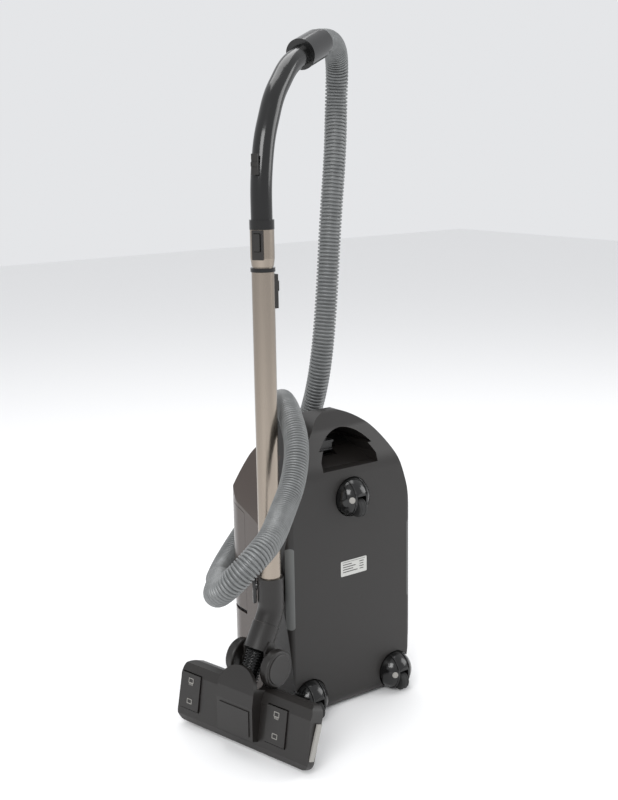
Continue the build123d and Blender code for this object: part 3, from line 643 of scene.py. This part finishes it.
class VACUUM_OT_dust_bag(bpy.types.Operator):
    """Makes the soft fleece dust bag"""
    bl_idname = "vacuum.dust_bag"
    bl_label = "Dust bag"

    def execute(self, context):
        low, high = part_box("dust_bag")
        middle, size = (low + high) / 2, high - low
        bag = box(middle, [side * share for side, share in zip(size, BAG_SHARE)])
        take(bag)
        bpy.ops.object.transform_apply(location=True, rotation=True, scale=True)
        round_off = bag.modifiers.new("round", "BEVEL")
        round_off.width, round_off.segments = BAG_ROUNDING, 5
        bpy.ops.object.modifier_apply(modifier=round_off.name)
        soften = bag.modifiers.new("soften", "REMESH")
        soften.mode, soften.voxel_size = "VOXEL", BAG_GRAIN
        bpy.ops.object.modifier_apply(modifier=soften.name)
        creases = bpy.data.textures.new("creases", "CLOUDS")
        creases.noise_scale = CREASE_SCALE
        push = bag.modifiers.new("creases", "DISPLACE")
        push.texture, push.texture_coords = creases, "LOCAL"
        push.strength, push.mid_level = CREASE_DEPTH, 0.75
        bpy.ops.object.modifier_apply(modifier=push.name)
        settle(bag, "fleece_dust_bag", "canister", "paper", SMOOTH_ROUND)
        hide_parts("dust_bag")
        return {"FINISHED"}


# ---------------------------------------------------------------- floor head


def pedal_sign(x, tufted):
    """A generic sign for a floor: a shoe of the nozzle, with or without tufts under it."""
    turn = head_turn(PEDAL_SLOPE)
    centre = 0.017 if tufted else -0.017
    across, upright = (0.0105, SIGN_LINE), (SIGN_LINE, 0.0070)
    lines = [
        (0, 0.0045, across), (-0.0048, 0.001, upright), (0.0048, 0.001, upright),
        (0, -0.0025, across),
    ]
    if tufted:
        lines += [(-0.0036 + 0.0024 * step, -0.0045, (0.0008, 0.004)) for step in range(4)]
    bars = []
    for u, rise, size in lines:
        v = centre + rise
        y = PEDAL_FOOT_Y + v * math.cos(PEDAL_SLOPE)
        z = PEDAL_FOOT_Z + v * math.sin(PEDAL_SLOPE) + SIGN_LIFT
        bars.append(box(head_place(x + u, y, z), (*size, SIGN_DEPTH), turn))
    return bars


class VACUUM_OT_pedals(bpy.types.Operator):
    """Adds the signs on the rocker pedals"""
    bl_idname = "vacuum.pedals"
    bl_label = "Pedal signs"

    def execute(self, context):
        for side, x in PEDAL_CENTRES.items():
            signs = join(pedal_sign(x, True) + pedal_sign(x, False))
            settle(signs, f"pedal_signs_{side}", f"pedal_{side[0]}", "white_plastic")
        return {"FINISHED"}


class VACUUM_OT_brushes(bpy.types.Operator):
    """Makes both brush strips from rows of tufts"""
    bl_idname = "vacuum.brushes"
    bl_label = "Brush strips"

    def execute(self, context):
        pieces = [box(head_place(0, y, STRIP_Z), BRUSH_STRIP, head_turn()) for y in BRUSH_ROWS]
        tuft = turned(TUFT_RINGS, (0, 0, 0), -HEAD_TOP, 8)
        first = tuft.matrix_world.copy()
        for y in BRUSH_ROWS:
            for step in range(TUFTS_IN_ROW):
                x = FIRST_TUFT_X + step * TUFT_PITCH
                take(tuft)
                bpy.ops.object.duplicate()
                copy = bpy.context.active_object
                copy.matrix_world = Matrix.Translation(head_place(x, y, TUFT_Z)) @ first
                pieces.append(copy)
        bpy.data.objects.remove(tuft)
        brushes = join(pieces)
        settle(brushes, "bristle_rows", "brush", "bristle")
        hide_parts("brush_strips")
        return {"FINISHED"}


class VACUUM_OT_wheels(bpy.types.Operator):
    """Adds the dished hub caps of the floor head's wheels"""
    bl_idname = "vacuum.wheels"
    bl_label = "Wheel caps"

    def execute(self, context):
        for side, sign in (("left", -1), ("right", 1)):
            hub = head_place(sign * WHEEL_CAP_X, 0, 0)
            cap = turned(WHEEL_CAP_RINGS, hub, HEAD_ALONG * sign)
            settle(cap, f"wheel_cap_{side}", f"head_wheel_{side[0]}", "black_plastic")
        return {"FINISHED"}


class VACUUM_OT_elbow_button(bpy.types.Operator):
    """Adds the long cap of the elbow's release button"""
    bl_idname = "vacuum.elbow_button"
    bl_label = "Elbow button cap"

    def execute(self, context):
        turn = Matrix((ELBOW_OUTWARD, ELBOW_ALONG, Vector((0, 0, 1)))).transposed()
        place = ELBOW_CENTRE + ELBOW_OUTWARD * ELBOW_CAP_REACH
        cap = box(place, ELBOW_CAP, turn, edge=ELBOW_CAP_EDGE)
        settle(cap, "elbow_button_cap", "foot_button", "gloss_black")
        return {"FINISHED"}


# ---------------------------------------------------------------- finishes and stage


class VACUUM_OT_finishes(bpy.types.Operator):
    """Gives every solid node its finish"""
    bl_idname = "vacuum.finishes"
    bl_label = "Finishes"

    def execute(self, context):
        for slot, material in make_finishes(context.scene.vacuum_looks).items():
            SLOT_FINISH[slot] = material.name
        for part in frame["record"]["subparts"]:
            node = frame["nodes"][part["node"]]
            node.data.materials.clear()
            node.data.materials.append(finish_of(part["material_slot"]))
        put_down()
        for node in frame["nodes"].values():
            take(node)
            bpy.ops.object.shade_smooth_by_angle(angle=math.radians(SMOOTH_NODE))
        return {"FINISHED"}


def lamp(name, place, aim, power, size):
    """A square lamp at a place, turned to its aim."""
    data = bpy.data.lights.new(name, "AREA")
    data.energy, data.size = power, size
    light = bpy.data.objects.new(name, data)
    bpy.context.scene.collection.objects.link(light)
    turn = (Vector(aim) - Vector(place)).to_track_quat("-Z", "Y").to_matrix().to_4x4()
    light.matrix_world = Matrix.Translation(place) @ turn


class VACUUM_OT_stage(bpy.types.Operator):
    """Sets up the floor, the lamps and the camera"""
    bl_idname = "vacuum.stage"
    bl_label = "Stage"

    def execute(self, context):
        setting = context.scene.vacuum_stage
        shade = setting.floor_shade
        put_down()
        bpy.ops.mesh.primitive_plane_add(size=FLOOR_SIZE, location=(0, 0, FLOOR_Z))
        floor = bpy.context.active_object
        floor.name = floor.data.name = "pale_floor"
        floor.data.materials.append(grained(finish("studio_floor", (shade,) * 3, 0.8), 40, 0.02))
        world = bpy.data.worlds.new("studio")
        world.use_nodes = True
        background = world.node_tree.nodes["Background"]
        background.inputs["Color"].default_value = SKY_COLOUR
        background.inputs["Strength"].default_value = SKY_STRENGTH
        context.scene.world = world
        context.scene.view_settings.view_transform = "Standard"
        for name, place, share, size in LAMPS:
            lamp(name, place, LAMP_AIM, setting.light * share, size)
        data = bpy.data.cameras.new("camera")
        data.lens, data.sensor_width, data.clip_end = CAMERA_LENS, CAMERA_SENSOR, CAMERA_FAR
        camera = bpy.data.objects.new("camera", data)
        context.scene.collection.objects.link(camera)
        turn = Matrix((CAMERA_RIGHT, CAMERA_UP, CAMERA_BACK)).transposed()
        camera.matrix_world = Matrix.Translation(CAMERA_PLACE) @ turn.to_4x4()
        context.scene.camera = camera
        return {"FINISHED"}


# ---------------------------------------------------------------- panel and registering

OPERATORS = (
    VACUUM_OT_finishes, VACUUM_OT_hose, VACUUM_OT_bellows, VACUUM_OT_casters, VACUUM_OT_label,
    VACUUM_OT_buttons, VACUUM_OT_dust_bag, VACUUM_OT_pedals, VACUUM_OT_brushes, VACUUM_OT_wheels,
    VACUUM_OT_elbow_button, VACUUM_OT_stage,
)


class VACUUM_PT_panel(bpy.types.Panel):
    """Lists the pieces in the sidebar"""
    bl_label = "Vacuum cleaner"
    bl_idname = "VACUUM_PT_panel"
    bl_space_type = "VIEW_3D"
    bl_region_type = "UI"
    bl_category = "Vacuum"

    def draw(self, context):
        column = self.layout.column()
        for group, names in (
            ("vacuum_hose", ("diameter", "valley", "pitch", "stretched")),
            ("vacuum_looks", ("body_colour", "paint_colour", "hose_colour")),
            ("vacuum_stage", ("floor_shade", "light")),
        ):
            for name in names:
                column.prop(getattr(context.scene, group), name)
        for operator in OPERATORS:
            column.operator(operator.bl_idname)


GROUPS = {"vacuum_hose": HoseSizes, "vacuum_looks": Looks, "vacuum_stage": StageSetting}


def register():
    for group in GROUPS.values():
        bpy.utils.register_class(group)
    for name, group in GROUPS.items():
        setattr(bpy.types.Scene, name, bpy.props.PointerProperty(type=group))
    for cls in (*OPERATORS, VACUUM_PT_panel):
        bpy.utils.register_class(cls)


def unregister():
    for cls in reversed((*OPERATORS, VACUUM_PT_panel)):
        bpy.utils.unregister_class(cls)
    for name, group in GROUPS.items():
        delattr(bpy.types.Scene, name)
        bpy.utils.unregister_class(group)


def main():
    register()
    bpy.ops.vacuum.finishes()
    bpy.ops.vacuum.hose()
    bpy.ops.vacuum.bellows()
    bpy.ops.vacuum.casters()
    bpy.ops.vacuum.label()
    bpy.ops.vacuum.buttons()
    bpy.ops.vacuum.dust_bag()
    bpy.ops.vacuum.pedals()
    bpy.ops.vacuum.brushes()
    bpy.ops.vacuum.wheels()
    bpy.ops.vacuum.elbow_button()
    bpy.ops.vacuum.stage()
    put_down()


if __name__ == "__main__":
    main()
